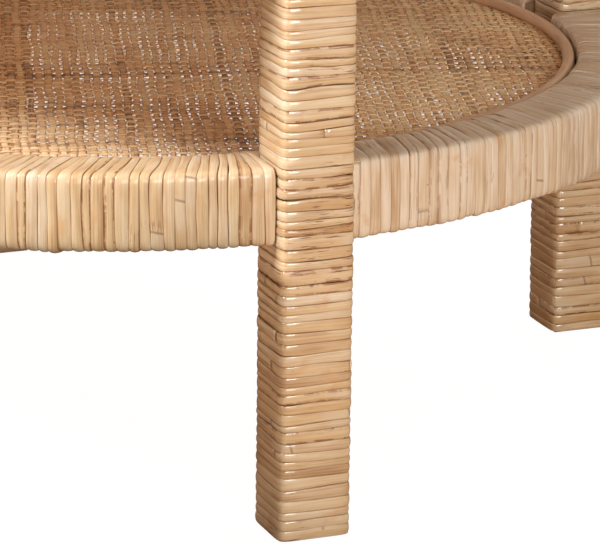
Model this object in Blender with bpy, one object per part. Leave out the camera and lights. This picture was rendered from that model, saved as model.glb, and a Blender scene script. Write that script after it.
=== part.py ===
"""Two-tier round coffee table in wrapped rattan, built as its joiner and wrapper would build it.

Four square posts stand on a circle. At each tier four curved rails are tenoned into the posts and make
a ring. Every post and rail is wound with flat rattan binding, modelled here as a thin sleeve for each
separately wound stretch. A ledge inside each ring carries a panel of woven cane, and a bent rattan bead
covers the panel's edge.

Frame: origin on the floor at the table's centre, +Z up, one leg on each of -Y (front), +X, +Y and -X.
"""

import math

import bmesh
import bpy
from mathutils import Matrix

# Driving dimensions, in metres
TABLE_HEIGHT = 0.460
SHELF_HEIGHT = 0.261        # floor to the top of the shelf's ring
RING_HEIGHT = 0.055
RING_OUTER = 0.387          # radii over the binding
RING_INNER = 0.3365
LEG_SIDE = 0.053            # over the binding
LEG_RADIUS = 0.3705         # table centre to the centre of a leg
BINDING = 0.0027            # thickness of the binding
GAP = 0.0003                # between pieces that touch
ARRIS = 0.005               # chamfer on the binding's outer corners
INNER_ARRIS = 0.0003        # chamfer on its inner corners, against the wood
FOOT_LIFT = 0.0008          # the lowest turn of binding stands this far off the floor

TENON_INSET = 0.011
TENON_LENGTH = 0.018

PANEL_THICKNESS = 0.0026
PANEL_DEPTH = 0.0115        # ring's top down to the panel's upper face
PANEL_CLEARANCE = 0.001     # between the ring's inner wall and what lies inside it
LEDGE_WIDTH = 0.014
LEDGE_DEPTH = 0.010
LEDGE_END = 0.0006          # half the gap between two ledges that meet behind a leg
BEAD_RADIUS = 0.0047
BEAD_SETBACK = 0.0008       # ring's inner wall to the bead

# Fineness of the curved pieces
ARC_STEPS = 16
PANEL_SIDES = 80
BEAD_STEPS = 64
BEAD_SIDES = 10
SMOOTH_ANGLE = 40           # degrees; edges sharper than this stay sharp

LEG_ANGLES = {"front": -90, "right": 0, "back": 90, "left": 180}
QUARTERS = {"front_right": -90, "back_right": 0, "back_left": 90, "front_left": 180}
TIERS = {"shelf": SHELF_HEIGHT, "top": TABLE_HEIGHT}


def clear_scene():
    for old in list(bpy.data.objects):
        bpy.data.objects.remove(old, do_unlink=True)


def make_material(name, color, roughness):
    material = bpy.data.materials.new(name)
    material.use_nodes = True
    shader = material.node_tree.nodes["Principled BSDF"]
    shader.inputs["Base Color"].default_value = (*color, 1.0)
    shader.inputs["Roughness"].default_value = roughness
    shader.inputs["Metallic"].default_value = 0.0
    return material


def add_object(name, bm, material=None, angle=0.0, smooth=False):
    """Turns a bmesh into a named object, rotated about the table's axis by an angle in degrees."""
    bmesh.ops.recalc_face_normals(bm, faces=bm.faces)
    mesh = bpy.data.meshes.new(name)
    bm.to_mesh(mesh)
    bm.free()
    if smooth:
        mesh.shade_smooth()
        mesh.set_sharp_from_angle(angle=math.radians(SMOOTH_ANGLE))
    if material:
        mesh.materials.append(material)
    obj = bpy.data.objects.new(name, mesh)
    obj.rotation_euler.z = math.radians(angle)
    bpy.context.scene.collection.objects.link(obj)
    return obj


def add_box(bm, low, high):
    size = [high[i] - low[i] for i in range(3)]
    centre = [(high[i] + low[i]) / 2 for i in range(3)]
    place = Matrix.Translation(centre) @ Matrix.Diagonal((*size, 1.0))
    bmesh.ops.create_cube(bm, size=1.0, matrix=place)


def chamfered_square(half_u, half_v, cut):
    """The eight corners of a rectangle about the origin with its corners cut off, in order."""
    corners = []
    for sign_u, sign_v in ((1, 1), (-1, 1), (-1, -1), (1, -1)):
        along_u = (sign_u * (half_u - cut), sign_v * half_v)
        along_v = (sign_u * half_u, sign_v * (half_v - cut))
        first, second = (along_v, along_u) if sign_u == sign_v else (along_u, along_v)
        corners += [first, second]
    return corners


def bridge(bm, first, second):
    """Quads between two closed loops of vertices with the same count."""
    count = len(first)
    for i in range(count):
        j = (i + 1) % count
        bm.faces.new((first[i], first[j], second[j], second[i]))


# ---------------------------------------------------------------- pieces of a ring

def arc_loops(bm, section, end_offset):
    """Sweeps a section of (radius, height) points round a quarter, from leg to leg.

    Both ends lie in planes parallel to the legs' sides, end_offset away from the legs' centre planes.
    """
    loops = []
    for step in range(ARC_STEPS + 1):
        loop = []
        for radius, height in section:
            start = math.asin(end_offset / radius)
            angle = start + (math.pi / 2 - 2 * start) * step / ARC_STEPS
            loop.append(bm.verts.new((radius * math.cos(angle), radius * math.sin(angle), height)))
        loops.append(loop)
    for first, second in zip(loops, loops[1:]):
        bridge(bm, first, second)
    return loops


def arc_bar(name, section, end_offset, material, angle, tenon=False):
    """A solid curved bar, with a stub tenon on each end where asked."""
    bm = bmesh.new()
    loops = arc_loops(bm, section, end_offset)
    ends = [bm.faces.new(loops[0]), bm.faces.new(loops[-1])]
    bmesh.ops.recalc_face_normals(bm, faces=bm.faces)
    if tenon:
        for end in ends:
            bmesh.ops.inset_individual(bm, faces=[end], thickness=TENON_INSET, use_even_offset=True)
            out = end.normal * TENON_LENGTH
            moved = bmesh.ops.extrude_face_region(bm, geom=[end])["geom"]
            tip = [item for item in moved if isinstance(item, bmesh.types.BMVert)]
            bmesh.ops.translate(bm, verts=tip, vec=out)
            bmesh.ops.delete(bm, geom=[end], context="FACES_ONLY")
    return add_object(name, bm, material, angle)


def arc_sleeve(name, outer, inner, end_offset, material, angle):
    """A curved tube: the binding around a rail."""
    bm = bmesh.new()
    outer_loops = arc_loops(bm, outer, end_offset)
    inner_loops = arc_loops(bm, inner, end_offset)
    for end in (0, -1):
        bridge(bm, outer_loops[end], inner_loops[end])
    return add_object(name, bm, material, angle)


def ring_section(top, margin, cut):
    """The ring's section shrunk by a margin, as (radius, height) points."""
    middle_radius = (RING_OUTER + RING_INNER) / 2
    half_width = (RING_OUTER - RING_INNER) / 2 - margin
    half_height = RING_HEIGHT / 2 - margin
    points = chamfered_square(half_width, half_height, cut)
    return [(middle_radius + u, top - RING_HEIGHT / 2 + v) for u, v in points]


def rail_section(top):
    """The bare rail's four corners, just inside its binding."""
    inset = BINDING + GAP
    low, high = top - RING_HEIGHT + inset, top - inset
    inner, outer = RING_INNER + inset, RING_OUTER - inset
    return [(outer, high), (inner, high), (inner, low), (outer, low)]


def ledge_section(top):
    high = top - PANEL_DEPTH - PANEL_THICKNESS - GAP
    outer = RING_INNER - PANEL_CLEARANCE
    inner = outer - LEDGE_WIDTH
    return [(outer, high), (inner, high), (inner, high - LEDGE_DEPTH), (outer, high - LEDGE_DEPTH)]


def build_ring(tier, top, wood, binding):
    side = LEG_SIDE / 2 + GAP
    for quarter, angle in QUARTERS.items():
        arc_bar(f"{tier}_rail_{quarter}", rail_section(top), side, wood, angle, tenon=True)
        outer = ring_section(top, 0.0, ARRIS)
        inner = ring_section(top, BINDING, INNER_ARRIS)
        arc_sleeve(f"{tier}_binding_{quarter}", outer, inner, side, binding, angle)
        arc_bar(f"{tier}_ledge_{quarter}", ledge_section(top), LEDGE_END, wood, angle)


def build_panel(tier, top, cane):
    bm = bmesh.new()
    place = Matrix.Translation((0, 0, top - PANEL_DEPTH - PANEL_THICKNESS / 2))
    radius = RING_INNER - PANEL_CLEARANCE
    bmesh.ops.create_cone(bm, cap_ends=True, segments=PANEL_SIDES, radius1=radius, radius2=radius,
                          depth=PANEL_THICKNESS, matrix=place)
    add_object(f"{tier}_panel", bm, cane)


def build_bead(tier, top, pole):
    """The bent pole over the panel's edge, turned about the table's axis."""
    bm = bmesh.new()
    centre_radius = RING_INNER - BEAD_SETBACK - BEAD_RADIUS
    height = top - PANEL_DEPTH + GAP + BEAD_RADIUS
    loops = []
    for step in range(BEAD_STEPS):
        turn = 2 * math.pi * step / BEAD_STEPS
        loop = []
        for side in range(BEAD_SIDES):
            around = 2 * math.pi * (side + 0.5) / BEAD_SIDES
            radius = centre_radius + BEAD_RADIUS * math.cos(around)
            rise = BEAD_RADIUS * math.sin(around)
            loop.append(bm.verts.new((radius * math.cos(turn), radius * math.sin(turn), height + rise)))
        loops.append(loop)
    for step in range(BEAD_STEPS):
        bridge(bm, loops[step], loops[(step + 1) % BEAD_STEPS])
    add_object(f"{tier}_bead", bm, pole, smooth=True)


# ---------------------------------------------------------------- legs

def mortise_cutter(name, top, angle):
    """Two boxes a little larger than the tenons that enter the leg from its two sides."""
    side = LEG_SIDE / 2 + GAP
    section = rail_section(top)
    outer, inner = section[0][0], section[1][0]
    high, low = section[0][1], section[2][1]
    slack = TENON_INSET - GAP
    near = math.sqrt(inner ** 2 - side ** 2) + slack
    far = math.sqrt(outer ** 2 - side ** 2) - slack
    depth = TENON_LENGTH + GAP
    bm = bmesh.new()
    for sign in (-1, 1):
        start, end = sorted((sign * (side - depth), sign * (side + GAP)))
        add_box(bm, (near, start, low + slack), (far, end, high - slack))
    cutter = add_object(name, bm, angle=angle)
    cutter.hide_render = True
    cutter.display_type = "WIRE"
    return cutter


def cut(obj, cutter):
    modifier = obj.modifiers.new("mortises", "BOOLEAN")
    modifier.operation = "DIFFERENCE"
    modifier.object = cutter


def leg_sleeve(name, low, high, material, angle, capped=False):
    """One stretch of binding round a post, as a square tube, closed at the top where asked."""
    bm = bmesh.new()
    half = LEG_SIDE / 2
    outer = chamfered_square(half, half, ARRIS)
    inner = chamfered_square(half - BINDING, half - BINDING, INNER_ARRIS)
    inner_high = high - BINDING if capped else high
    loops = []
    for section, bottom, top in ((outer, low, high), (inner, low, inner_high)):
        pair = [[bm.verts.new((LEG_RADIUS + u, v, z)) for u, v in section] for z in (bottom, top)]
        bridge(bm, *pair)
        loops.append(pair)
    (outer_low, outer_high), (inner_low, inner_top) = loops
    bridge(bm, outer_low, inner_low)
    if capped:
        bm.faces.new(outer_high)
        bm.faces.new(inner_top)
    else:
        bridge(bm, outer_high, inner_top)
    return add_object(name, bm, material, angle)


def build_leg(name, angle, wood, binding):
    cutters = {tier: mortise_cutter(f"cutter_{tier}_{name}", top, angle) for tier, top in TIERS.items()}

    half = LEG_SIDE / 2 - BINDING - GAP
    post_top = TABLE_HEIGHT - BINDING - GAP
    bm = bmesh.new()
    add_box(bm, (LEG_RADIUS - half, -half, 0.0), (LEG_RADIUS + half, half, post_top))
    post = add_object(f"leg_post_{name}", bm, wood, angle)
    for cutter in cutters.values():
        cut(post, cutter)

    shelf_low = SHELF_HEIGHT - RING_HEIGHT
    top_low = TABLE_HEIGHT - RING_HEIGHT
    leg_sleeve(f"leg_binding_lower_{name}", FOOT_LIFT, shelf_low - GAP, binding, angle)
    shelf_joint = leg_sleeve(f"leg_binding_shelf_{name}", shelf_low, SHELF_HEIGHT, binding, angle)
    leg_sleeve(f"leg_binding_upper_{name}", SHELF_HEIGHT + GAP, top_low - GAP, binding, angle)
    top_joint = leg_sleeve(f"leg_binding_top_{name}", top_low, TABLE_HEIGHT, binding, angle, capped=True)
    cut(shelf_joint, cutters["shelf"])
    cut(top_joint, cutters["top"])


def build_table():
    clear_scene()
    wood = make_material("frame_wood", (0.42, 0.26, 0.14), 0.6)
    binding = make_material("rattan_binding", (0.72, 0.50, 0.29), 0.42)
    cane = make_material("cane_weave", (0.40, 0.21, 0.10), 0.55)
    pole = make_material("rattan_pole", (0.42, 0.23, 0.13), 0.45)
    for name, angle in LEG_ANGLES.items():
        build_leg(name, angle, wood, binding)
    for tier, top in TIERS.items():
        build_ring(tier, top, wood, binding)
        build_panel(tier, top, cane)
        build_bead(tier, top, pole)


build_table()
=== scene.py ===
"""Round two-tier table in wrapped rattan: the windings, the woven cane and the bent poles that show.

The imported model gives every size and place. Its rails, its ledges and the posts that stand plumb stay and
get a wood finish. The leaning front post is made again here. The binding sleeves, panels and beads are
replaced by separate turns of rattan peel, by woven strands and by bent poles.
"""

import math

import bpy
import numpy as np
from mathutils import Matrix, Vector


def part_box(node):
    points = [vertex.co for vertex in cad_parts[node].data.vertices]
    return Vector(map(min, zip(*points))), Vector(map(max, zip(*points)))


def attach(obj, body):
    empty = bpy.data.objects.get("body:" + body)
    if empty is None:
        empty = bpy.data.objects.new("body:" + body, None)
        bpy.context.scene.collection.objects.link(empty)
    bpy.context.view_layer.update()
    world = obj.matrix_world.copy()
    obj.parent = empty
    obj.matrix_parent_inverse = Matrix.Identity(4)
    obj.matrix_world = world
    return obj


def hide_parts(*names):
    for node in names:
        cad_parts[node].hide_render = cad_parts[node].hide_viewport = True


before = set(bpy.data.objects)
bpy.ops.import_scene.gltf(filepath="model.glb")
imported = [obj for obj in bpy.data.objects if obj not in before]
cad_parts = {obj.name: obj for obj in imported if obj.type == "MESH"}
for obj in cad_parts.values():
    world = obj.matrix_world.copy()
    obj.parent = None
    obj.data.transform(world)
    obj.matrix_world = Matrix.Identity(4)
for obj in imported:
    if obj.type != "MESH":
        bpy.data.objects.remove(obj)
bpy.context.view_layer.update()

MM = 0.001
LEG_TURN = {"front": -90.0, "right": 0.0, "back": 90.0, "left": 180.0}
QUARTER_TURN = {"front_right": -90.0, "back_right": 0.0, "back_left": 90.0, "front_left": 180.0}
# Quarters differ in tone, looseness and blush; the back right quarter's paler, warmer tone is painted light
# that brightens the far right of the ring
QUARTER_TONE = {"front_right": -0.08, "back_right": -0.08, "back_left": 0.03, "front_left": 0.03}
QUARTER_LOOSENESS = {"front_right": 0.45, "back_right": 0.6, "back_left": 1.0, "front_left": 1.0}
QUARTER_BLUSH = {"front_right": 0.85, "back_right": 0.35, "back_left": 0.12, "front_left": 0.13}
RING_CROWN = {"front_right": 0.36 * MM, "back_right": 0.4 * MM, "back_left": 0.5 * MM,
              "front_left": 0.5 * MM}
TIERS = ("shelf", "top")
STRETCHES = ("lower", "shelf", "upper", "top")

# Winding
RING_PITCH = 7.5 * MM       # one turn of peel along the ring's outer face
LEG_PITCH = 6.95 * MM       # one turn of peel up a leg
PEEL_BACK = 2.5 * MM        # how far under the surface the back of the peel lies
RING_POWER = 9.0            # superellipse power of the ring's section: higher is squarer
LEDGE_CLEARANCE = 1.0 * MM  # from a ledge to the ring's inner wall
LEG_POWER = 8.5
POST_POWER = 24.0           # the same for a post's own section
SECTION_POINTS = 14         # points on each quarter of a winding's section
CORNER_CROWDING = 1.5       # above 1, a section's points draw together towards its corners
LEG_CROWN = 0.64 * MM       # how far the edges of a leg's strip lie under its middle
RING_UNEVENNESS = 0.12      # spread of the turns' widths, as a share
LEG_UNEVENNESS = 0.14
RING_LIFT = 0.45 * MM       # how far a turn stands proud or low
LEG_LIFT = 0.42 * MM
RING_SAG = 1.5 * MM         # how far a slack turn hangs under its ring
RING_SWAY = 0.0007          # how far an edge between turns strays, as a share of a quarter
LEG_SWAY = 0.38 * MM
ODD_STRIPS = 0.07           # share of strips that are tan or brown
RING_BROKEN = 0.07          # share of a ring's turns that are made of two lengths of peel
LEG_BROKEN = 0.18
SLIT_SHARE = 0.15           # share of the strips' edges with an open slit somewhere along them
RING_TONES = 0.055          # spread of the strips' tones
LEG_TONES = 0.09
LEG_BLUSH = 0.22            # how far the legs' strips turn from tan to pink
LEG_LEAN = {"front": 0.0095}  # slope at which a leg, post and winding, stands out of plumb
LEAN_FROM = 0.20            # height at which a leaning leg is in its nominal place
TOP_ROOM = 3.2 * MM         # left free at the top of a leg for the strips that cap it
CAP_STRIPS = 7
CAP_BEND = 5.0 * MM         # radius at which they turn down over the leg's edges
CAP_THICKNESS = 1.6 * MM
SLANT_TURNS = 2.0           # turns by which a strip moves on while it crosses the ring's top face
SLANT_EASE = 4.6            # turns over which the slant dies out next to a leg

# Weave
COLUMN_HEADING = math.radians(16.4)
COLUMN_PITCH = 6.85 * MM
ROW_PITCH = 7.15 * MM
COLUMN_WIDTH = 5.1 * MM
ROW_WIDTH = 6.55 * MM
PAIR_SHIFT = 0.50 * MM      # each weft lies this far towards its partner
STRAND = 0.5 * MM           # thickness of a strand
COLUMN_RISE = 0.20 * MM     # height of a strand's middle over the panel's where it passes over
ROW_RISE = 0.50 * MM
DARK_STRANDS = {"columns": 0.18, "rows": 0.03}
CLOSENESS = 0.075           # share by which strands widen in the close parts of the weave

# Poles
POLE_DROP = 1.6 * MM        # how far the pole's own weight and nails press it into the weave
POLE_STEPS = 420
POLE_SIDES = 14
NODE_SPACING = 0.29         # between the growth nodes along the pole, in metres


# ---------------------------------------------------------------- meshes from strips

class Strips:
    """Collects closed strips of quads and turns them into one mesh object."""

    def __init__(self):
        self.verts, self.quads, self.grain, self.tone, self.blush = [], [], [], [], []
        self.count = 0

    def add(self, grid, across, along, seed, tone, closed, blush=0.0):
        """Adds one strip from its vertices as an array (steps along, points round the section, 3).

        across and along are the grain's coordinates: -1 to 1 over the width, and metres along.
        tone runs from pale to brown. blush runs from tan to a paler pink on peel, and on cane from the
        sunken parts of a strand to its crowns, to paint shade on the first and a highlight on the second.
        """
        steps, sides = grid.shape[:2]
        index = np.arange(steps * sides).reshape(steps, sides) + self.count
        turned = np.roll(index, -1, axis=1)
        if closed:
            corners = (index, turned, np.roll(turned, -1, axis=0), np.roll(index, -1, axis=0))
        else:
            corners = (index[:-1], turned[:-1], turned[1:], index[1:])
            for row, order in ((index[0], 1), (index[-1], -1)):
                for k in range(sides // 2 - 1):
                    cap = [row[k], row[sides - 1 - k], row[sides - 2 - k], row[k + 1]]
                    self.quads.append(np.array([cap[::order]]))
        self.quads.append(np.stack(corners, axis=-1).reshape(-1, 4))
        self.verts.append(grid.reshape(-1, 3))
        grain = np.empty((steps, sides, 3))
        grain[..., 0], grain[..., 1], grain[..., 2] = across, along, seed
        self.grain.append(grain.reshape(-1, 3))
        self.tone.append(np.full(steps * sides, tone))
        self.blush.append(np.broadcast_to(blush, (steps, sides)).ravel())
        self.count += steps * sides

    def build(self, name, material, slot, turn=0.0, nodes=()):
        verts = np.concatenate(self.verts)
        quads = np.concatenate(self.quads)
        if signed_volume(verts, quads) < 0:
            quads = quads[:, ::-1]
        mesh = bpy.data.meshes.new(name)
        mesh.vertices.add(len(verts))
        mesh.vertices.foreach_set("co", verts.astype(np.float32).ravel())
        mesh.loops.add(quads.size)
        mesh.loops.foreach_set("vertex_index", quads.astype(np.int32).ravel())
        mesh.polygons.add(len(quads))
        mesh.polygons.foreach_set("loop_start", np.arange(0, quads.size, 4, dtype=np.int32))
        mesh.update(calc_edges=True)
        grain = mesh.attributes.new("grain", "FLOAT_VECTOR", "POINT")
        grain.data.foreach_set("vector", np.concatenate(self.grain).astype(np.float32).ravel())
        for key, values in (("tone", self.tone), ("blush", self.blush)):
            layer = mesh.attributes.new(key, "FLOAT", "POINT")
            layer.data.foreach_set("value", np.concatenate(values).astype(np.float32))
        mesh.shade_smooth()
        if turn:
            mesh.transform(Matrix.Rotation(math.radians(turn), 4, "Z"))
        mesh.materials.append(material)
        obj = bpy.data.objects.new(name, mesh)
        bpy.context.scene.collection.objects.link(obj)
        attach(obj, "root")
        if nodes:
            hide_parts(*nodes)
        return obj


def signed_volume(verts, quads):
    a, b, c, d = (verts[quads[:, k]] for k in range(4))
    first = np.einsum("ij,ij->i", a, np.cross(b, c)).sum()
    second = np.einsum("ij,ij->i", a, np.cross(c, d)).sum()
    return first + second


def soft_rectangle(half_p, half_q, power, steps):
    """Points and outward normals round a superellipse, counter-clockwise, closest together at its corners.

    Returns (points, normals, distance), with the distance round from the first point in metres. The first
    point is in the corner at low p and low q, which faces inwards.
    """
    share = np.linspace(-1, 1, steps, endpoint=False) + 1 / steps
    quarter = np.radians(45 + 45 * np.sign(share) * np.abs(share) ** CORNER_CROWDING)
    angle = np.roll(np.concatenate([quarter + math.pi / 2 * k for k in (2, 3, 0, 1)]), -(steps // 2))
    direction = np.stack((np.cos(angle), np.sin(angle)), axis=1)
    reach = (np.abs(direction) ** power).sum(axis=1) ** (-1 / power)
    unit = direction * reach[:, None]
    half = np.array((half_p, half_q))
    points = unit * half
    normals = np.sign(unit) * np.abs(unit) ** (power - 1) / half
    normals /= np.linalg.norm(normals, axis=1)[:, None]
    lengths = np.linalg.norm(np.roll(points, -1, axis=0) - points, axis=1)
    distance = np.concatenate(([0.0], np.cumsum(lengths)[:-1]))
    return points, normals, distance


# A peel strip's section: seven points over its crowned front as shares of its width, three at its back
PEEL_FRONT = 7
PEEL_ACROSS = np.array((0.0, 0.05, 0.2, 0.5, 0.8, 0.95, 1.0, 1.0, 0.5, 0.0))
PEEL_DEPTH = np.abs(2 * PEEL_ACROSS - 1) ** 2.3


def peel_heights(crown, swell):
    """Heights of a strip's section over the nominal surface, as (steps along, points round)."""
    heights = swell[:, None] - np.atleast_1d(crown)[:, None] * PEEL_DEPTH[None, :]
    heights[:, PEEL_FRONT:] = -PEEL_BACK
    return heights


def waves(rng, count, shortest, longest):
    """A smooth random function of one or two lengths, with a standard deviation of about 1."""
    lengths = rng.uniform(shortest, longest, count)
    headings = rng.uniform(0, 2 * np.pi, count)
    phases = rng.uniform(0, 2 * np.pi, count)
    scale = math.sqrt(2.0 / count)

    def value(x, y=0.0):
        total = 0.0
        for length, heading, phase in zip(lengths, headings, phases):
            total = total + np.sin((x * math.cos(heading) + y * math.sin(heading)) * 2 * np.pi / length
                                   + phase)
        return total * scale
    return value


def turn_shares(rng, count, spread):
    """Edges of count turns of uneven width as shares of a whole, from 0 to 1."""
    widths = np.clip(1.0 + spread * rng.standard_normal(count), 0.66, 1.40)
    edges = np.concatenate(([0.0], np.cumsum(widths)))
    return edges / edges[-1]


def group_lift(rng, count, size):
    """Heights of turns that stand a little proud or low in short runs, as one winder's pull changes."""
    lift, left, level = np.empty(count), 0, 0.0
    for k in range(count):
        if left == 0:
            left, level = int(rng.integers(2, 7)), rng.uniform(-1, 1)
        lift[k] = size * (0.65 * level + 0.35 * rng.uniform(-1, 1))
        left -= 1
    return lift


def edge_gaps(rng, distance, looseness=1.0):
    """Half the gap left by each edge of a strip along its length: mostly a hairline, in places a slit."""
    gaps = []
    for _ in range(2):
        usual = rng.choice((0.04, 0.08, 0.20), p=(0.55, 0.33, 0.12)) * MM
        gap = looseness * (usual + 0.09 * MM * waves(rng, 3, 0.03, 0.12)(distance))
        middle, reach = rng.uniform(0, distance[-1]), rng.uniform(0.008, 0.022)
        if rng.random() < SLIT_SHARE * looseness:
            gap = gap + rng.uniform(0.4, 1.0) * MM * np.exp(-((distance - middle) / reach) ** 2)
        gaps.append(np.clip(gap, 0.02 * MM, 1.0 * MM))
    return gaps


def narrowed(across, gaps, width):
    """The across coordinates drawn in from both edges by gaps, for a strip of the given widths."""
    left, right = (gap[:, None] / width for gap in gaps)
    return left + across * (1 - left - right)


def strip_tone(rng, shift=0.0, spread=LEG_TONES):
    """Tone of one strip of peel: mostly pale, now and then tan or brown."""
    tone = rng.normal(0.33, spread) + shift
    if rng.random() < ODD_STRIPS:
        tone += rng.uniform(0.10, 0.28)
    return float(np.clip(tone, 0.02, 0.98))


def strip_blush(rng, usual):
    return float(np.clip(usual + 0.15 * rng.standard_normal(), 0.0, 0.95))


def add_turn(strips, rng, grid, normals, distance, look):
    """Adds one closed turn of peel; now and then it is two lengths, with their ends butted or overlapped.

    look is the tones' shift and spread, the usual blush and the share of turns made of two lengths.
    """
    shift, spread, blush, broken = look
    across = 2 * PEEL_ACROSS[None, :] - 1
    offset, seed = rng.uniform(0, 9), rng.uniform(0, 50)
    tone = strip_tone(rng, shift, spread)
    if rng.random() > broken:
        strips.add(grid, across, distance[:, None] + offset, seed, tone, True, strip_blush(rng, blush))
        return
    steps = len(grid)
    first = int(rng.integers(steps))
    second = int((first + rng.integers(steps // 4, 3 * steps // 4)) % steps)
    for start, end in ((first, second), (second, first)):
        index = np.arange(start, end + 1 if end > start else end + steps + 1)
        piece, outward = grid[index % steps].copy(), normals[index % steps]
        lengths = np.linalg.norm(np.diff(piece[:, 3], axis=0), axis=1)
        along = np.concatenate(([0.0], np.cumsum(lengths)))
        for here, inner in ((0, 1), (-1, -2)):
            gap = rng.uniform(0.08, 0.30) * MM / np.linalg.norm(piece[inner, 3] - piece[here, 3])
            piece[here] += gap * (piece[inner] - piece[here])
        lift = rng.uniform(0.0, 0.5) * MM * np.exp(-along / 0.012)
        piece += lift[:, None, None] * outward[:, None, :]
        strips.add(piece, across, along[:, None] + rng.uniform(0, 9), rng.uniform(0, 50),
                   strip_tone(rng, shift, spread), False, strip_blush(rng, blush))


# ---------------------------------------------------------------- rings

def ring_quarter(tier, quarter, peel, seed):
    """The turns of peel round one quarter of a ring."""
    rng = np.random.default_rng(seed)
    node = f"{tier}_binding_{quarter}"
    low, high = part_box(f"{tier}_binding_front_right")
    side = abs(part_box(f"{tier}_binding_front_right")[0][0])
    outer = math.hypot(high[0], side)
    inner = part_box(f"{tier}_ledge_front_right")[1][0] + LEDGE_CLEARANCE
    middle = (outer + inner) / 2
    half_p, half_q = (outer - inner) / 2, (high[2] - low[2]) / 2
    points, normals, distance = soft_rectangle(half_p, half_q, RING_POWER, SECTION_POINTS)

    count = round((math.pi / 2 * outer - 2 * side) / RING_PITCH)
    edges = turn_shares(rng, count, RING_UNEVENNESS)
    lift = group_lift(rng, count, RING_LIFT)
    sag = group_lift(rng, count, RING_SAG).clip(0)
    under = np.clip(-normals[:, 1], 0, 1)
    crown = RING_CROWN[quarter] * (1 + 0.8 * under)
    shift = np.clip((half_p - points[:, 0]) / (2 * half_p), 0, 1)
    wobble = [waves(rng, 3, 0.04, 0.14) for _ in range(count + 1)]

    def edge_share(i):
        ease = min(1.0, i / SLANT_EASE, (count - i) / SLANT_EASE)
        moved = np.interp(i + SLANT_TURNS * ease * shift, np.arange(count + 1), edges)
        sway = RING_SWAY * min(1.0, i, count - i) * wobble[i](distance)
        return moved + sway

    strips = Strips()
    for i in range(count):
        start, end = edge_share(i), edge_share(i + 1)
        face = waves(rng, 4, 0.05, 0.16)
        swell = lift[i] + 0.18 * MM * face(distance) + sag[i] * under
        height = peel_heights(crown, swell)
        p = middle + points[:, :1] + height * normals[:, :1]
        q = (low[2] + high[2]) / 2 + points[:, 1:] + height * normals[:, 1:]
        begin = np.arcsin(side / p)
        span = np.pi / 2 - 2 * begin
        width = (end - start)[:, None]
        gaps = edge_gaps(rng, distance, QUARTER_LOOSENESS[quarter])
        inside = narrowed(PEEL_ACROSS[None, :], gaps, width * span * p)
        theta = begin + span * (start[:, None] + width * inside)
        grid = np.stack((p * np.cos(theta), p * np.sin(theta), q), axis=-1)
        heading = theta[:, 3]
        outward = np.column_stack((normals[:, 0] * np.cos(heading), normals[:, 0] * np.sin(heading),
                                   normals[:, 1]))
        look = (QUARTER_TONE[quarter], RING_TONES, QUARTER_BLUSH[quarter], RING_BROKEN)
        add_turn(strips, rng, grid, outward, distance, look)
    strips.build(f"{tier}_winding_{quarter}", peel, "rattan_binding", QUARTER_TURN[quarter], [node])


# ---------------------------------------------------------------- legs

def leg_stretch(leg, stretch, peel, seed):
    """The turns of peel up one stretch of a leg."""
    rng = np.random.default_rng(seed)
    node = f"leg_binding_{stretch}_{leg}"
    low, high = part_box(f"leg_binding_{stretch}_right")
    centre = (low[0] + high[0]) / 2
    half = (high[0] - low[0]) / 2
    points, normals, distance = soft_rectangle(half, half, LEG_POWER, SECTION_POINTS)
    height = high[2] - low[2]
    top_room = TOP_ROOM if stretch == "top" else 0.0
    count = round((height - top_room) / LEG_PITCH)
    edges = turn_shares(rng, count, LEG_UNEVENNESS) * (height - top_room)
    lift = group_lift(rng, count, LEG_LIFT)
    outward = np.column_stack((normals, np.zeros(len(normals))))
    wobble = [waves(rng, 3, 0.05, 0.16) for _ in range(count + 1)]

    strips = Strips()
    for i in range(count):
        begin = low[2] + edges[i] + LEG_SWAY * min(1, i) * wobble[i](distance)
        end = low[2] + edges[i + 1] + LEG_SWAY * min(1, count - i - 1) * wobble[i + 1](distance)
        face = waves(rng, 4, 0.05, 0.16)
        swell = lift[i] + 0.16 * MM * face(distance)
        height_out = peel_heights(LEG_CROWN * rng.uniform(0.8, 1.2), swell)
        x = centre + points[:, :1] + height_out * normals[:, :1]
        y = points[:, 1:] + height_out * normals[:, 1:]
        width = (end - begin)[:, None]
        z = begin[:, None] + width * narrowed(PEEL_ACROSS[None, :], edge_gaps(rng, distance), width)
        y = y + LEG_LEAN.get(leg, 0.0) * (z - LEAN_FROM)
        look = (0.0, LEG_TONES, LEG_BLUSH, LEG_BROKEN)
        add_turn(strips, rng, np.stack((x, y, z), axis=-1), outward, distance, look)
    if stretch == "top":
        add_cap(strips, rng, centre, half, high[2])
    strips.build(f"leg_winding_{stretch}_{leg}", peel, "rattan_binding", LEG_TURN[leg], [node])


def leaning_post(leg, wood):
    """The wooden post inside a leaning winding, out of plumb as its winding is."""
    low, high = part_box("leg_post_right")
    centre, half = (low[0] + high[0]) / 2, (high[0] - low[0]) / 2
    points, _, _ = soft_rectangle(half, half, POST_POWER, 4)
    z = np.linspace(low[2], high[2], 24)[:, None] + 0 * points[None, :, 0]
    x = centre + points[None, :, 0] + 0 * z
    y = points[None, :, 1] + LEG_LEAN[leg] * (z - LEAN_FROM)
    strips = Strips()
    strips.add(np.stack((x, y, z), axis=-1), points[None, :, 0] / half, z, 1.0, 0.5, closed=False)
    strips.build(f"leg_core_{leg}", wood, "frame_wood", LEG_TURN[leg], [f"leg_post_{leg}"])


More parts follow.
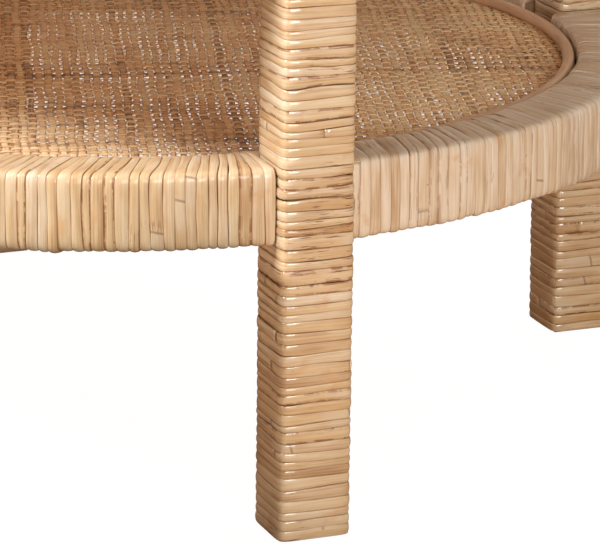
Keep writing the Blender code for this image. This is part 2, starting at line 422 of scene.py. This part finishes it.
def add_cap(strips, rng, centre, half, top):
    """Strips laid side by side over the end of a post, their ends bent down over its edges."""
    count, bend = CAP_STRIPS, CAP_BEND
    reach = half - 1.2 * MM
    edges = (2 * turn_shares(rng, count, 0.08) - 1) * (half - 0.9 * MM)
    angles = np.radians(np.linspace(0, 90, 6))
    left = [(-reach + bend - bend * math.sin(a), top - bend + bend * math.cos(a),
             -math.sin(a), math.cos(a)) for a in angles]
    path = [(x, z, nx, nz) for x, z, nx, nz in reversed(left)]
    path += [(x, top, 0.0, 1.0) for x in np.linspace(-reach + bend, reach - bend, 8)[1:-1]]
    path += [(-x, z, -nx, nz) for x, z, nx, nz in left]
    path = np.array(path)
    steps = np.linalg.norm(np.diff(path[:, :2], axis=0), axis=1)
    distance = np.concatenate(([0.0], np.cumsum(steps)))
    for i in range(count):
        across = PEEL_ACROSS[None, :]
        height = peel_heights(LEG_CROWN, np.full(len(path), rng.uniform(-0.2, 0.2) * MM))
        height[:, PEEL_FRONT:] = -CAP_THICKNESS
        gap = rng.uniform(0.15, 0.4) * MM
        y = edges[i] + (edges[i + 1] - edges[i]) * across + (0.5 - across) * gap + 0 * path[:, :1]
        x = centre + path[:, :1] + height * path[:, 2:3]
        z = path[:, 1:2] + height * path[:, 3:4]
        strips.add(np.stack((x, y, z), axis=-1), 2 * across - 1, distance[:, None] + rng.uniform(0, 9),
                   rng.uniform(0, 50), strip_tone(rng), closed=False)


# ---------------------------------------------------------------- woven panels

STRAND_ACROSS = np.array((-1.0, -0.5, 0.5, 1.0, 0.6, -0.6))
STRAND_HEIGHT = np.array((-0.1, 0.5, 0.5, -0.1, -0.5, -0.5)) * STRAND


def weave_sets(rng, reach):
    """Middles of the crossings as arrays (column, row), in the weave's own axes."""
    columns = int(2 * reach / COLUMN_PITCH) + 2
    rows = 2 * (int(reach / ROW_PITCH) + 1)
    a = (np.arange(columns) - (columns - 1) / 2) * COLUMN_PITCH
    a = a + 0.30 * MM * rng.standard_normal(columns)
    b = (np.arange(rows) - (rows - 1) / 2) * ROW_PITCH
    b = b + np.where(np.arange(rows) % 2 == 0, PAIR_SHIFT, -PAIR_SHIFT)
    b = b + 0.22 * MM * rng.standard_normal(rows)
    a, b = np.meshgrid(a, b, indexing="ij")
    drift_a, drift_b = waves(rng, 7, 0.07, 0.25), waves(rng, 7, 0.05, 0.20)
    shift_a = 1.0 * MM * drift_a(a, b)
    shift_b = 1.1 * MM * drift_b(a, b)
    for i in range(columns):
        shift_a[i] += 0.28 * MM * waves(rng, 3, 0.03, 0.12)(b[i])
    for j in range(rows):
        shift_b[:, j] += 0.25 * MM * waves(rng, 3, 0.03, 0.12)(a[:, j])
    return a + shift_a, b + shift_b


def add_strand(strips, rng, middles, over, rise, width, closeness, reach, tone):
    """One strand through its crossings, highest at the middle of each crossing that it passes over."""
    along = np.gradient(middles, axis=0)
    path = np.zeros((3 * len(middles), 3))
    for part, share in enumerate((-0.3, 0.0, 0.3)):
        path[part::3, :2] = middles + share * along
        path[part::3, 2] = np.where(over, rise, -rise) * math.cos(share * math.pi)
    inside = np.hypot(path[:, 0], path[:, 1]) < reach
    if inside.sum() < 4:
        return
    first, last = np.flatnonzero(inside)[[0, -1]]
    path = path[first:last + 1]
    # Height from a strand's sunken parts to its crowns; the cane's material paints shade and highlights from
    # it
    painted_highlight_and_shade = 0.5 + 0.5 * path[:, 2] / rise
    for end, inner in ((0, 1), (-1, -2)):
        step = path[end, :2] - path[inner, :2]
        step /= np.linalg.norm(step)
        lean = path[end, :2] @ step
        room = reach ** 2 - path[end, :2] @ path[end, :2]
        path[end, :2] += step * (math.sqrt(lean ** 2 + room) - lean)
    tangent = np.gradient(path, axis=0)
    tangent[:, 2] = 0.0
    tangent /= np.linalg.norm(tangent, axis=1)[:, None]
    across = np.stack((tangent[:, 1], -tangent[:, 0], 0 * tangent[:, 0]), axis=1)
    steps = np.linalg.norm(np.diff(path, axis=0), axis=1)
    distance = np.concatenate(([0.0], np.cumsum(steps)))
    half_width = width / 2 * (1 + 0.08 * waves(rng, 3, 0.03, 0.15)(distance)
                              + CLOSENESS * closeness(path[:, 0], path[:, 1]).clip(-0.9))
    grid = path[:, None, :] + across[:, None, :] * (half_width[:, None] * STRAND_ACROSS[None, :])[..., None]
    grid[..., 2] += STRAND_HEIGHT[None, :]
    strips.add(grid, STRAND_ACROSS[None, :], distance[:, None] + rng.uniform(0, 9),
               rng.uniform(0, 50), tone, closed=False, blush=painted_highlight_and_shade[:, None])


def woven_panel(tier, cane, seed):
    """The panel of plain-woven cane: its columns and its rows, each as two pieces of every second strand."""
    rng = np.random.default_rng(seed)
    low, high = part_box(f"{tier}_panel")
    reach = high[0] - 1.0 * MM
    middle = (low[2] + high[2]) / 2
    place = Matrix.Translation((0, 0, middle)) @ Matrix.Rotation(-COLUMN_HEADING, 4, "Z")
    a, b = weave_sets(rng, reach)
    crossings = np.stack((a, b), axis=-1)
    parity = (np.arange(a.shape[0])[:, None] + np.arange(a.shape[1])[None, :]) % 2 == 0
    closeness = waves(rng, 8, 0.05, 0.16)
    for kind, width, rise in (("columns", COLUMN_WIDTH, COLUMN_RISE), ("rows", ROW_WIDTH, ROW_RISE)):
        halves = (Strips(), Strips())
        count = a.shape[0] if kind == "columns" else a.shape[1]
        for k in range(count):
            line = crossings[k] if kind == "columns" else crossings[:, k]
            over = parity[k] if kind == "columns" else ~parity[:, k]
            tone = rng.normal(0.42, 0.15)
            if rng.random() < DARK_STRANDS[kind]:
                tone += rng.uniform(0.25, 0.5)
            tone = float(np.clip(tone, 0.02, 0.98))
            strand_width = width * rng.uniform(0.88, 1.1)
            add_strand(halves[k % 2], rng, line, over, rise, strand_width, closeness, reach, tone)
        for half, strips in zip(("odd", "even"), halves):
            nodes = [f"{tier}_panel"] if (kind, half) == ("columns", "odd") else ()
            obj = strips.build(f"{tier}_weave_{kind}_{half}", cane, "cane_weave", nodes=nodes)
            obj.data.transform(place)


# ---------------------------------------------------------------- beads

def bead(tier, pole, seed):
    """The bent pole that covers the panel's edge, with its growth nodes."""
    rng = np.random.default_rng(seed)
    low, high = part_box(f"{tier}_bead")
    radius = (high[2] - low[2]) / 2 * 0.95
    centre = high[0] - radius - 1.0 * MM
    length = 2 * math.pi * centre
    s = np.arange(POLE_STEPS) / POLE_STEPS * length
    girth = 1 + 0.02 * waves(rng, 5, 0.08, 0.4)(s)
    nodes = np.arange(0.11, length, NODE_SPACING)
    for node in nodes + rng.uniform(-0.04, 0.04, len(nodes)):
        swelling = 0.055 * np.exp(-((s - node) / 0.004) ** 2)
        neck = 0.02 * np.exp(-((s - node - 0.009) / 0.004) ** 2)
        girth += swelling - neck
    sway = 0.35 * MM * waves(rng, 4, 0.12, 0.5)(s)
    turn = s / centre
    around = np.linspace(0, 2 * np.pi, POLE_SIDES, endpoint=False)
    r = centre + sway[:, None] * 0.5 + radius * girth[:, None] * np.cos(around)
    z = (low[2] + high[2]) / 2 - POLE_DROP + radius * girth[:, None] * np.sin(around)
    grid = np.stack((r * np.cos(turn)[:, None], r * np.sin(turn)[:, None], z), axis=-1)
    strips = Strips()
    strips.add(grid, np.cos(around)[None, :], s[:, None], seed % 17, 0.5, closed=True)
    strips.build(f"{tier}_pole", pole, "rattan_pole", nodes=[f"{tier}_bead"])


# ---------------------------------------------------------------- materials

PEEL_COLORS = [(0.0, (0.72, 0.59, 0.39)), (0.28, (0.66, 0.475, 0.27)),
               (0.5, (0.58, 0.38, 0.19)), (0.75, (0.44, 0.245, 0.10)), (1.0, (0.25, 0.12, 0.045))]
BLUSH_COLORS = [(0.0, (0.80, 0.71, 0.60)), (0.3, (0.71, 0.60, 0.47)), (0.5, (0.60, 0.455, 0.31)),
                (0.75, (0.46, 0.30, 0.17)), (1.0, (0.28, 0.15, 0.07))]
GOLDEN = (0.60, 0.37, 0.13, 1)
DARK_FIBRE = (0.17, 0.075, 0.03, 1)
EDGE_BROWN = (0.38, 0.17, 0.06, 1)
TORN_BROWN = (0.27, 0.11, 0.035, 1)
STAIN = (0.60, 0.32, 0.13, 1)
NODE_PALE = (0.72, 0.61, 0.46, 1)
CANE_COLORS = [(0.0, (0.98, 0.80, 0.50)), (0.35, (0.96, 0.68, 0.37)), (0.65, (0.78, 0.46, 0.22)),
               (1.0, (0.30, 0.145, 0.065))]
POLE_COLORS = [(0.3, (0.80, 0.56, 0.37)), (0.5, (0.71, 0.47, 0.29)), (0.7, (0.54, 0.32, 0.18))]
WOOD_COLORS = [(0.3, (0.36, 0.21, 0.11)), (0.5, (0.27, 0.15, 0.075)), (0.72, (0.17, 0.085, 0.04))]


def link_inputs(tree, node, values):
    for key, value in values.items():
        socket = node.inputs[key]
        if isinstance(value, bpy.types.NodeSocket):
            tree.links.new(value, socket)
        else:
            socket.default_value = value


def add_node(tree, kind, values=None, **settings):
    node = tree.nodes.new(kind)
    for key, value in settings.items():
        setattr(node, key, value)
    link_inputs(tree, node, values or {})
    return node


def math_node(tree, operation, *values):
    node = tree.nodes.new("ShaderNodeMath")
    node.operation = operation
    link_inputs(tree, node, dict(enumerate(values)))
    return node.outputs[0]


def scaled(tree, vector, factors):
    node = add_node(tree, "ShaderNodeVectorMath", {0: vector, 1: factors}, operation="MULTIPLY")
    return node.outputs[0]


def noise(tree, vector, scale=1.0, detail=3.0, roughness=0.55):
    node = add_node(tree, "ShaderNodeTexNoise",
                    {"Vector": vector, "Scale": scale, "Detail": detail, "Roughness": roughness})
    return node.outputs[0]


def remap(tree, value, from_low, from_high, to_low, to_high, smooth=True):
    node = add_node(tree, "ShaderNodeMapRange",
                    {0: value, 1: from_low, 2: from_high, 3: to_low, 4: to_high},
                    interpolation_type="SMOOTHSTEP" if smooth else "LINEAR", clamp=True)
    return node.outputs[0]


def ramp(tree, factor, stops):
    node = add_node(tree, "ShaderNodeValToRGB", {"Fac": factor})
    elements = node.color_ramp.elements
    elements[0].position, elements[0].color = stops[0][0], (*stops[0][1], 1)
    elements[1].position, elements[1].color = stops[-1][0], (*stops[-1][1], 1)
    for position, color in stops[1:-1]:
        elements.new(position).color = (*color, 1)
    return node.outputs[0]


def tint(tree, factor, color, other, blend="MIX"):
    node = add_node(tree, "ShaderNodeMix", {"Factor": factor, 6: color, 7: other},
                    data_type="RGBA", blend_type=blend)
    return node.outputs[2]


def new_material(name, roughness=0.5, coat=0.0):
    material = bpy.data.materials.new(name)
    material.use_nodes = True
    tree = material.node_tree
    shader = tree.nodes["Principled BSDF"]
    shader.inputs["Roughness"].default_value = roughness
    shader.inputs["Coat Weight"].default_value = coat
    shader.inputs["Coat Roughness"].default_value = 0.14
    shader.inputs["Coat IOR"].default_value = 1.65
    return material, tree, shader


def grain_sockets(tree):
    grain, tone = attribute(tree, "grain"), attribute(tree, "tone")
    parts = add_node(tree, "ShaderNodeSeparateXYZ", {0: grain.outputs["Vector"]})
    return grain.outputs["Vector"], tone.outputs["Fac"], parts.outputs


def attribute(tree, name):
    return add_node(tree, "ShaderNodeAttribute", attribute_name=name, attribute_type="GEOMETRY")


def odd_ones(tree, seed, factor, share):
    """1 on a few strips, picked by their seed, and 0 on the rest; share is how many stay at 0."""
    picked = math_node(tree, "FRACT", math_node(tree, "MULTIPLY", seed, factor))
    return math_node(tree, "GREATER_THAN", picked, share)


def spots(tree, grain, spacing, size):
    """Small round marks strewn over the strips, as a mask."""
    place = scaled(tree, grain, (0.0035 / spacing, 1 / spacing, 37.0))
    cells = add_node(tree, "ShaderNodeTexVoronoi", {"Vector": place, "Scale": 1.0})
    return remap(tree, cells.outputs["Distance"], 0.5 * size / spacing, size / spacing, 1.0, 0.0)


def peel_material(name, coat, wear):
    """Glossy rattan peel: cream to tan strips, streaked lengthways, with nodes, stains and frayed edges.

    wear, from 0 to 1, is how many dark dashes and torn edges there are.
    """
    material, tree, shader = new_material(name, coat=coat)
    grain, tone, (across, along, seed) = grain_sockets(tree)
    streak = noise(tree, scaled(tree, grain, (3.0, 16.0, 3.0)), detail=4)
    fine = noise(tree, scaled(tree, grain, (9.0, 45.0, 7.0)), detail=3)
    patch = noise(tree, scaled(tree, grain, (0.4, 24.0, 1.7)), detail=2)

    shade = math_node(tree, "ADD", tone, remap(tree, patch, 0.3, 0.75, -0.10, 0.20))
    shade = math_node(tree, "ADD", shade, remap(tree, streak, 0.3, 0.7, -0.17, 0.21, smooth=False))
    color = ramp(tree, shade, PEEL_COLORS)
    golden = math_node(tree, "MULTIPLY", odd_ones(tree, seed, 3.71, 0.94),
                       remap(tree, patch, 0.35, 0.6, 0.1, 0.55))
    blush = attribute(tree, "blush").outputs["Fac"]
    color = tint(tree, blush, color, ramp(tree, shade, BLUSH_COLORS))
    color = tint(tree, golden, color, GOLDEN)
    color = tint(tree, math_node(tree, "MULTIPLY", spots(tree, grain, 0.04, 0.0016), 0.6), color, EDGE_BROWN)
    fibre_zone = noise(tree, scaled(tree, grain, (0.9, 34.0, 2.3)), detail=2)
    fibres = math_node(tree, "MULTIPLY", remap(tree, fine, 0.60, 0.74, 0.0, 1.0),
                       remap(tree, fibre_zone, 0.56, 0.70, 0.0, 0.8))
    color = tint(tree, fibres, color, DARK_FIBRE)
    place = add_node(tree, "ShaderNodeTexCoord").outputs["Object"]
    stain = remap(tree, noise(tree, place, scale=38.0, detail=3), 0.60, 0.72, 0.0, 0.45)
    color = tint(tree, stain, color, STAIN)
    rim = math_node(tree, "ABSOLUTE", across)
    cluster = remap(tree, noise(tree, place, scale=14.0, detail=2),
                    0.60 - 0.08 * wear, 0.69 - 0.07 * wear, 0.0, 1.0)
    dashes = noise(tree, scaled(tree, grain, (3.6, 62.0, 5.0)), detail=4)
    dashes = remap(tree, math_node(tree, "MULTIPLY_ADD", rim, 0.09, dashes), 0.615, 0.67, 0.0, 0.95)
    color = tint(tree, math_node(tree, "MULTIPLY", cluster, dashes), color, DARK_FIBRE)
    # The strips' edges turn brown: partly the peel's rougher edges, partly painted shade in the seams
    # between strips, less of both on close-wound strips
    edge = math_node(tree, "MULTIPLY", remap(tree, rim, 0.84, 1.0, 0.0, 1.0),
                     remap(tree, patch, 0.35, 0.65, 0.25, 0.85))
    close = remap(tree, blush, 0.3, 0.8, 1.0, 0.5)
    edge = math_node(tree, "MULTIPLY", edge, close)
    color = tint(tree, edge, color, EDGE_BROWN)

    frayed = odd_ones(tree, seed, 7.13, 0.86 - 0.12 * wear)
    torn = remap(tree, math_node(tree, "MULTIPLY_ADD", fine, 1.9, rim), 1.55, 1.68, 0.0, 0.9)
    chips = noise(tree, scaled(tree, grain, (0.6, 120.0, 3.0)), detail=2)
    chips = remap(tree, chips, 0.44, 0.54, 0.15, 1.0)
    torn = math_node(tree, "MULTIPLY", math_node(tree, "MULTIPLY", torn, chips), close)
    color = tint(tree, math_node(tree, "MULTIPLY", frayed, torn), color, TORN_BROWN)

    joint = math_node(tree, "MULTIPLY_ADD", along, 1.3,
                      math_node(tree, "MULTIPLY_ADD", across, 0.0012, seed))
    joint = math_node(tree, "SUBTRACT", math_node(tree, "FRACT", joint), 0.5)
    beside = math_node(tree, "ABSOLUTE", math_node(tree, "ADD", joint, 0.012))
    pale = remap(tree, beside, 0.009, 0.020, 0.32, 0.0)
    mark = remap(tree, math_node(tree, "ABSOLUTE", joint), 0.0006, 0.0016, 0.55, 0.0)
    color = tint(tree, pale, color, NODE_PALE)
    color = tint(tree, mark, color, DARK_FIBRE)
    height = math_node(tree, "MULTIPLY_ADD", mark, -0.8, math_node(tree, "ADD", streak, fine))
    bump = add_node(tree, "ShaderNodeBump", {"Height": height, "Strength": 0.3, "Distance": 0.0004})
    link_inputs(tree, shader, {"Base Color": color, "Normal": bump.outputs[0],
                               "Roughness": remap(tree, streak, 0.3, 0.7, 0.42, 0.58)})
    return material


def cane_material():
    """Dull woven cane, each strand a brown of its own, with painted shade where it sinks and painted
    highlights on its crowns.
    """
    material, tree, shader = new_material("cane_strand")
    shader.inputs["Specular IOR Level"].default_value = 0.22
    grain, tone, parts = grain_sockets(tree)
    place = add_node(tree, "ShaderNodeTexCoord").outputs["Object"]
    zone = noise(tree, place, scale=7.0, detail=2)
    streak = noise(tree, scaled(tree, grain, (2.2, 24.0, 3.0)), detail=4)
    patch = noise(tree, scaled(tree, grain, (0.6, 45.0, 1.9)), detail=3)
    shade = math_node(tree, "ADD", tone, remap(tree, patch, 0.3, 0.72, -0.30, 0.32, smooth=False))
    shade = math_node(tree, "ADD", shade, remap(tree, streak, 0.3, 0.7, -0.12, 0.14, smooth=False))
    shade = math_node(tree, "ADD", shade, remap(tree, zone, 0.35, 0.65, -0.18, 0.18))
    color = ramp(tree, shade, CANE_COLORS)
    painted_highlight_and_shade = attribute(tree, "blush").outputs["Fac"]
    # Painted shade on the sunken parts of each strand and a painted highlight on its crowns, set by their
    # height
    color = tint(tree, remap(tree, painted_highlight_and_shade, 0.0, 0.6, 0.22, 0.0), color, (0.22, 0.105, 0.045, 1))
    color = tint(tree, remap(tree, painted_highlight_and_shade, 0.6, 1.0, 0.0, 0.34), color, (0.99, 0.80, 0.52, 1))
    # Painted shade: each strand darkens towards its edges, where it meets its neighbours
    edge = remap(tree, math_node(tree, "ABSOLUTE", parts[0]), 0.62, 1.0, 0.0, 0.55)
    color = tint(tree, edge, color, (0.16, 0.08, 0.035, 1))
    bump = add_node(tree, "ShaderNodeBump", {"Height": streak, "Strength": 0.4, "Distance": 0.0003})
    link_inputs(tree, shader, {"Base Color": color, "Normal": bump.outputs[0],
                               "Roughness": remap(tree, streak, 0.3, 0.7, 0.60, 0.76)})
    return material


def pole_material():
    """Peeled bent pole: pinkish tan, with long fine grain."""
    material, tree, shader = new_material("rattan_core")
    grain = attribute(tree, "grain").outputs["Vector"]
    streak = noise(tree, scaled(tree, grain, (3.0, 14.0, 1.0)), detail=5)
    fine = noise(tree, scaled(tree, grain, (14.0, 40.0, 1.0)), detail=3)
    shade = math_node(tree, "MULTIPLY_ADD", streak, 0.7, math_node(tree, "MULTIPLY", fine, 0.3))
    color = ramp(tree, shade, POLE_COLORS)
    bump = add_node(tree, "ShaderNodeBump", {"Height": shade, "Strength": 0.3, "Distance": 0.0004})
    link_inputs(tree, shader, {"Base Color": color, "Normal": bump.outputs[0],
                               "Roughness": remap(tree, fine, 0.3, 0.7, 0.42, 0.58)})
    return material


def wood_material():
    """Plain sawn wood under the winding: straight grain along Z, pores and end grain."""
    material, tree, shader = new_material("sawn_wood")
    place = add_node(tree, "ShaderNodeTexCoord").outputs["Object"]
    grain = noise(tree, scaled(tree, place, (160.0, 160.0, 6.0)), detail=5)
    pores = noise(tree, scaled(tree, place, (900.0, 900.0, 40.0)), detail=2)
    color = ramp(tree, grain, WOOD_COLORS)
    color = tint(tree, remap(tree, pores, 0.56, 0.7, 0.0, 0.6), color, (0.09, 0.045, 0.02, 1))
    bump = add_node(tree, "ShaderNodeBump", {"Height": pores, "Strength": 0.4, "Distance": 0.0003})
    link_inputs(tree, shader, {"Base Color": color, "Normal": bump.outputs[0],
                               "Roughness": remap(tree, grain, 0.3, 0.7, 0.55, 0.72)})
    return material


def backdrop_material(name, glow, paint, far=(1, 1, 1)):
    """Seamless studio paper: its glow and its paint's colour, with the paper's faint mottling.

    far is the colour of its glow away from the middle, where the pool of light ends.
    """
    material, tree, shader = new_material(name, roughness=0.8)
    place = add_node(tree, "ShaderNodeTexCoord").outputs["Object"]
    soft = noise(tree, place, scale=1.5, detail=2)
    color = ramp(tree, soft, [(0.0, paint), (1.0, tuple(channel * 1.04 for channel in paint))])
    radius = add_node(tree, "ShaderNodeVectorMath", {0: place}, operation="LENGTH").outputs["Value"]
    light = tint(tree, remap(tree, radius, 0.58, 1.15, 0.0, 1.0), (1, 1, 1, 1), (*far, 1))
    link_inputs(tree, shader, {"Base Color": color, "Emission Color": light, "Emission Strength": glow})
    return material


# ---------------------------------------------------------------- studio

UNLIT = (0.05, 0.05, 0.05)  # paint of papers that are seen by their own glow


def add_stage(name, mesh):
    obj = bpy.data.objects.new(name, mesh)
    bpy.context.scene.collection.objects.link(obj)
    return obj


def sweep_mesh(name, height):
    """A round floor that curves up into a wall far away, turned from its profile."""
    flat, bend, sides = 14.0, 3.0, 64
    profile = [(0.02, height), (2.0, height), (flat, height)]
    profile += [(flat + bend * math.sin(a), height + bend * (1 - math.cos(a)))
                for a in np.radians(np.linspace(10, 90, 9))]
    profile.append((flat + bend, 12.0))
    turn = np.linspace(0, 2 * np.pi, sides, endpoint=False)
    verts = [(r * math.cos(t), r * math.sin(t), z) for r, z in profile for t in turn]
    faces = []
    for k in range(len(profile) - 1):
        for i in range(sides):
            here, there, after = k * sides, (k + 1) * sides, (i + 1) % sides
            faces.append((here + i, here + after, there + after, there + i))
    faces.append(tuple(range(sides)))
    mesh = bpy.data.meshes.new(name)
    mesh.from_pydata(verts, [], faces)
    return mesh


def wall_mesh(name, radius, low, high):
    """A half cylinder behind the table."""
    turn = np.linspace(0, np.pi, 25)
    verts = [(radius * math.cos(t), radius * math.sin(t), z) for z in (low, high) for t in turn]
    count = len(turn)
    faces = [(k, k + 1, count + k + 1, count + k) for k in range(count - 1)]
    mesh = bpy.data.meshes.new(name)
    mesh.from_pydata(verts, [], faces)
    return mesh


def area_light(name, heading, elevation, distance, size, energy, color):
    """A soft rectangular light aimed at the shelf; heading 0 is in front, 90 on the right."""
    light = bpy.data.lights.new(name, "AREA")
    light.shape, light.size, light.size_y = "RECTANGLE", size[0], size[1]
    light.energy, light.color = energy * distance ** 2, color
    lamp = bpy.data.objects.new(name, light)
    aim = Matrix.Translation((0, 0, 0.25)) @ Matrix.Rotation(math.radians(heading), 4, "Z")
    lamp.matrix_world = (aim @ Matrix.Rotation(math.radians(90 - elevation), 4, "X")
                         @ Matrix.Translation((0, 0, distance)))
    bpy.context.scene.collection.objects.link(lamp)


def build_studio():
    """A white sweep that only the camera sees, over a tan one that takes part in the lighting.

    A white wall behind the table shows only in its reflections, and a dark flag shades its lower legs.
    """
    white = sweep_mesh("white_sweep", 0.0)
    white.materials.append(backdrop_material("white_paper", 0.97, UNLIT, far=(0.80, 0.69, 0.57)))
    white = add_stage("white_sweep", white)
    white.visible_diffuse = white.visible_glossy = white.visible_shadow = False
    tan = sweep_mesh("tan_sweep", -0.002)
    tan.materials.append(backdrop_material("tan_paper", 0.0, (0.50, 0.31, 0.17)))
    add_stage("tan_sweep", tan)

    wall = wall_mesh("white_wall", 6.0, 0.4, 5.0)
    wall.materials.append(backdrop_material("wall_paper", 0.95, UNLIT, far=(1.0, 0.79, 0.57)))
    wall = add_stage("white_wall", wall)
    wall.visible_camera = wall.visible_diffuse = wall.visible_shadow = wall.visible_transmission = False

    world = bpy.data.worlds.new("studio")
    world.use_nodes = True
    world.node_tree.nodes["Background"].inputs["Color"].default_value = (1.0, 0.93, 0.86, 1)
    world.node_tree.nodes["Background"].inputs["Strength"].default_value = 0.45
    bpy.context.scene.world = world

    area_light("key", -86, 39.5, 3.0, (1.0, 1.0), 16.2, (0.97, 0.99, 1.03))
    area_light("front", 20, 32, 3.5, (1.6, 1.2), 0.8, (1.0, 0.97, 0.92))
    area_light("glint", -3, 12, 3.2, (1.9, 0.75), 5.0, (1.0, 0.99, 0.97))

    flag = bpy.data.meshes.new("flag")
    corners = [(-0.75, -0.47, 0.2), (-0.04, -0.47, 0.2), (-0.04, -0.30, 0.2), (-0.75, -0.30, 0.2)]
    flag.from_pydata(corners, [], [(0, 1, 2, 3)])
    flag.materials.append(backdrop_material("flag_felt", 0.0, (0.02, 0.02, 0.02)))
    flag = add_stage("flag", flag)
    flag.visible_camera = flag.visible_glossy = False
    bpy.context.scene.view_settings.view_transform = "Standard"


def build_camera():
    camera = bpy.data.cameras.new("camera")
    camera.sensor_width, camera.lens = 36.0, 235.67
    camera.clip_start, camera.clip_end = 0.1, 100.0
    obj = bpy.data.objects.new("camera", camera)
    heading, pitch, roll = math.radians(21.033), math.radians(16.488), math.radians(0.169)
    obj.matrix_world = (Matrix.Translation((-0.91241, -2.73344, 0.9319))
                        @ Matrix.Rotation(-heading, 4, "Z")
                        @ Matrix.Rotation(math.pi / 2 - pitch, 4, "X")
                        @ Matrix.Rotation(roll, 4, "Z"))
    bpy.context.scene.collection.objects.link(obj)
    bpy.context.scene.camera = obj


# ---------------------------------------------------------------- the table

def build_table():
    ring_peel = peel_material("rattan_peel_ring", coat=0.3, wear=0.2)
    leg_peel = peel_material("rattan_peel_leg", coat=0.9, wear=1.0)
    cane, pole, wood = cane_material(), pole_material(), wood_material()
    for name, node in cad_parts.items():
        if name.startswith("leg_post") or "_rail_" in name or "_ledge_" in name:
            node.data.materials.clear()
            node.data.materials.append(wood)
    for t, tier in enumerate(TIERS):
        for q, quarter in enumerate(QUARTER_TURN):
            ring_quarter(tier, quarter, ring_peel, 100 + 10 * t + q)
        woven_panel(tier, cane, 300 + t)
        bead(tier, pole, 400 + t)
    for leg in LEG_LEAN:
        leaning_post(leg, wood)
    for l, leg in enumerate(LEG_TURN):
        for s, stretch in enumerate(STRETCHES):
            leg_stretch(leg, stretch, leg_peel, 200 + 10 * l + s)


build_studio()
build_camera()
build_table()
